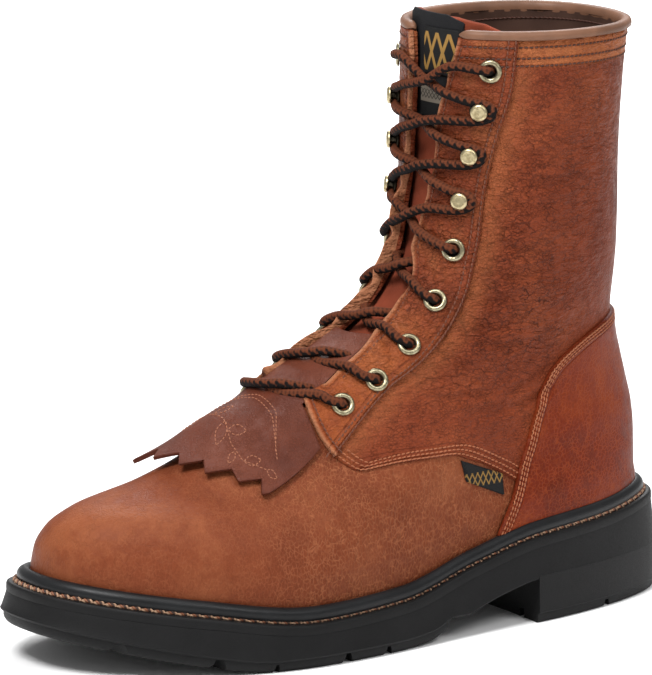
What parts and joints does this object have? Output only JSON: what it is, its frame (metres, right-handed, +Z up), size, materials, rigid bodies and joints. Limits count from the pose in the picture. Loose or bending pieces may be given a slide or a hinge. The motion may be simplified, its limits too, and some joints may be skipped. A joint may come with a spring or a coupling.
{
  "type": "lace-up work boot",
  "caption": "Left eight-inch lace-up work boot with a toothed kiltie, stitched storm welt, low block heel and lugged rubber sole; stands upright and open at the collar.",
  "frame": {"origin": "on the floor, at the centre of the heel: 38 mm in front of the rearmost point of the sole", "axes": "+Z up, -Y towards the toe, +X towards the outer side of the foot"},
  "size_m": [0.116, 0.3118, 0.257],
  "materials": {
    "rubber": "matte black moulded rubber with a fine grain",
    "midsole_rubber": "matte black band under the welt",
    "welt": "black, softly shining, rounded bead with a stitched groove",
    "insole": "dark brown footbed",
    "upper_leather": "reddish brown pebbled leather, softly waxed",
    "counter_leather": "reddish brown leather, smoother",
    "eyestay_leather": "reddish brown leather, burnished edges",
    "binding_leather": "taupe brown rolled edge",
    "tongue_suede": "orange brown suede, black padded top",
    "woven_label": "black woven fabric, left without text",
    "kiltie_leather": "darker smooth leather",
    "side_tag_fabric": "black woven tag, left without text",
    "brass": "aged brass, satin",
    "lace_cord": "round braided cord, brown and black strands"
  },
  "bodies": {
    "root": {"outsole": "rubber", "midsole": "midsole_rubber", "welt": "welt", "insole": "insole", "upper": "upper_leather", "heel_counter": "counter_leather", "eyestay_lateral": "eyestay_leather", "eyestay_medial": "eyestay_leather", "collar_binding": "binding_leather", "back_tab": "counter_leather", "tongue": "tongue_suede", "tongue_label": "woven_label", "tongue_patch": "woven_label", "kiltie": "kiltie_leather", "side_tag": "side_tag_fabric", "eyelet_lat_1": "brass", "eyelet_lat_2": "brass", "eyelet_lat_3": "brass", "eyelet_lat_4": "brass", "eyelet_lat_5": "brass", "eyelet_lat_9": "brass", "hook_lat_6": "brass", "hook_lat_7": "brass", "hook_lat_8": "brass", "eyelet_med_1": "brass", "eyelet_med_2": "brass", "eyelet_med_3": "brass", "eyelet_med_4": "brass", "eyelet_med_5": "brass", "eyelet_med_9": "brass", "hook_med_6": "brass", "hook_med_7": "brass", "hook_med_8": "brass", "lace_crossing_1": "lace_cord", "lace_crossing_2": "lace_cord", "lace_crossing_3": "lace_cord", "lace_crossing_4": "lace_cord", "lace_crossing_5": "lace_cord", "lace_crossing_6": "lace_cord", "lace_crossing_7": "lace_cord", "lace_crossing_8": "lace_cord"}
  },
  "joints": []
}
